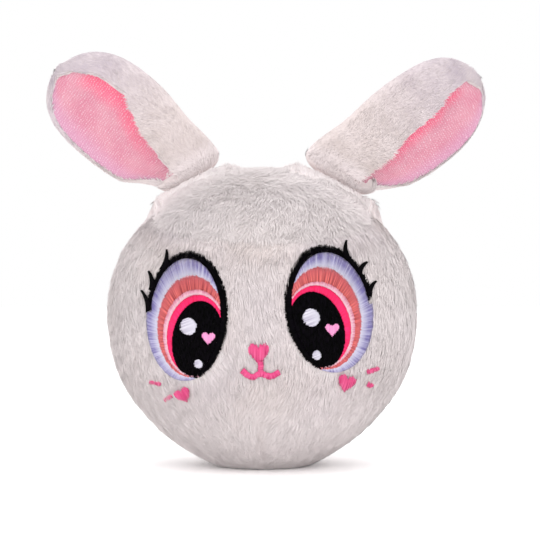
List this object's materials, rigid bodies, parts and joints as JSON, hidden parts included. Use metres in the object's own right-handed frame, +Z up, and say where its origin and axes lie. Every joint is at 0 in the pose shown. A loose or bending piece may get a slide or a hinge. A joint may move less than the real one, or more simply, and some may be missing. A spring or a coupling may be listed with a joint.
{
  "type": "plush bunny hopper ball",
  "caption": "Ball-shaped plush bunny hopper: an inflatable ball in a zipped plush cover, with stuffed ears as grips and an embroidered face.",
  "frame": {"origin": "middle of the flat that the ball rests on", "axes": "+Z up, the face looks along -Y, +X to the right as seen from the front"},
  "size_m": [0.5342, 0.3813, 0.4998],
  "materials": {
    "white_plush": "long soft pile, matt",
    "pink_lining": "pink knit with sparkling threads",
    "fibre_filling": "loose polyester fibre",
    "bladder_vinyl": "smooth soft vinyl",
    "valve_plastic": "moulded, matt",
    "zip_tape": "woven tape",
    "zip_teeth": "moulded teeth",
    "zip_metal": "die cast, satin",
    "black_thread": "satin stitch",
    "lavender_thread": "satin stitch with white strands",
    "coral_thread": "satin stitch",
    "pale_pink_thread": "satin stitch",
    "magenta_thread": "satin stitch",
    "white_thread": "satin stitch",
    "pink_thread": "satin stitch"
  },
  "bodies": {
    "root": {"face_panel": "white_plush", "crown_panel": "white_plush", "back_panel_left": "white_plush", "back_panel_right": "white_plush", "air_bladder": "bladder_vinyl", "valve_body": "valve_plastic", "zip_tape_left": "zip_tape", "zip_tape_right": "zip_tape", "zip_teeth_left": "zip_teeth", "zip_teeth_right": "zip_teeth", "zip_top_stop": "zip_metal", "zip_bottom_stop": "zip_metal", "left_eye_outline": "black_thread", "left_eye_lavender_band": "lavender_thread", "left_eye_coral_band": "coral_thread", "left_eye_pale_band": "pale_pink_thread", "left_eye_magenta_band": "magenta_thread", "left_eye_pupil": "black_thread", "left_eye_large_glint": "white_thread", "left_eye_small_glint": "white_thread", "left_eye_heart": "pink_thread", "right_eye_outline": "black_thread", "right_eye_lavender_band": "lavender_thread", "right_eye_coral_band": "coral_thread", "right_eye_pale_band": "pale_pink_thread", "right_eye_magenta_band": "magenta_thread", "right_eye_pupil": "black_thread", "right_eye_large_glint": "white_thread", "right_eye_small_glint": "white_thread", "right_eye_heart": "pink_thread", "nose": "pink_thread", "mouth": "pink_thread", "left_cheek_heart": "pink_thread", "left_cheek_upper_dash": "pink_thread", "left_cheek_lower_dash": "pink_thread", "right_cheek_heart": "pink_thread", "right_cheek_upper_dash": "pink_thread", "right_cheek_lower_dash": "pink_thread"},
    "left_ear": {"left_ear_back": "white_plush", "left_ear_lining": "pink_lining", "left_ear_filling": "fibre_filling"},
    "right_ear": {"right_ear_back": "white_plush", "right_ear_lining": "pink_lining", "right_ear_filling": "fibre_filling"},
    "zip_slider": {"zip_slider": "zip_metal"},
    "zip_pull": {"zip_pull": "zip_metal"},
    "valve_plug": {"valve_plug": "valve_plastic"}
  },
  "joints": [
    {"name": "left_ear_flop", "type": "hinge", "parent": "root", "child": "left_ear", "pos_m": [-0.09909, 0, 0.35471], "axis": [0.8805, -0.1045, 0.4624], "range_deg": [-30, 60], "stiffness_Nm_per_rad": 2.5},
    {"name": "right_ear_flop", "type": "hinge", "parent": "root", "child": "right_ear", "pos_m": [0.09909, 0, 0.35471], "axis": [0.8209, 0.3746, -0.4311], "range_deg": [-30, 60], "stiffness_Nm_per_rad": 2.5},
    {"name": "zip_run", "type": "hinge", "parent": "root", "child": "zip_slider", "pos_m": [0, 0, 0.184], "axis": [-1, 0, 0], "range_deg": [0, 41]},
    {"name": "zip_pull_swing", "type": "hinge", "parent": "zip_slider", "child": "zip_pull", "pos_m": [0, 0.18875, 0.15825], "axis": [1, 0, 0], "range_deg": [-10, 135]},
    {"name": "valve_plug_lift", "type": "slide", "parent": "root", "child": "valve_plug", "axis": [0, 0.8746, -0.4848], "range_m": [0, 0.0045]}
  ]
}
